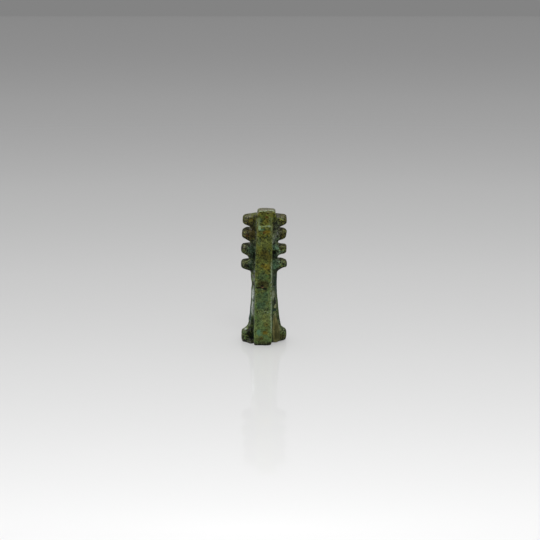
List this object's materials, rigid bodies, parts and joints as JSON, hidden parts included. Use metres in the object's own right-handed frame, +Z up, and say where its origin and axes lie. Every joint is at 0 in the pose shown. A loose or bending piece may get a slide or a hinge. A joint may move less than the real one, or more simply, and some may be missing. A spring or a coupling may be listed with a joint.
{
  "type": "djed pillar amulet",
  "caption": "Standing amulet in the form of a djed pillar: stacked bars over a flared shaft and block base, backed by a plain pillar with a small cord hole through it.",
  "frame": {"origin": "middle of the underside that the amulet stands on", "axes": "+Z up along the pillar, -Y towards the back pillar, +Y towards the front of the djed, +X to the right seen from behind"},
  "size_m": [0.0152, 0.0106, 0.045],
  "materials": {
    "glazed_faience": "worn olive-green glaze with ochre, brown and turquoise patches, half gloss"
  },
  "bodies": {
    "root": {"djed_amulet": "glazed_faience"}
  },
  "joints": []
}
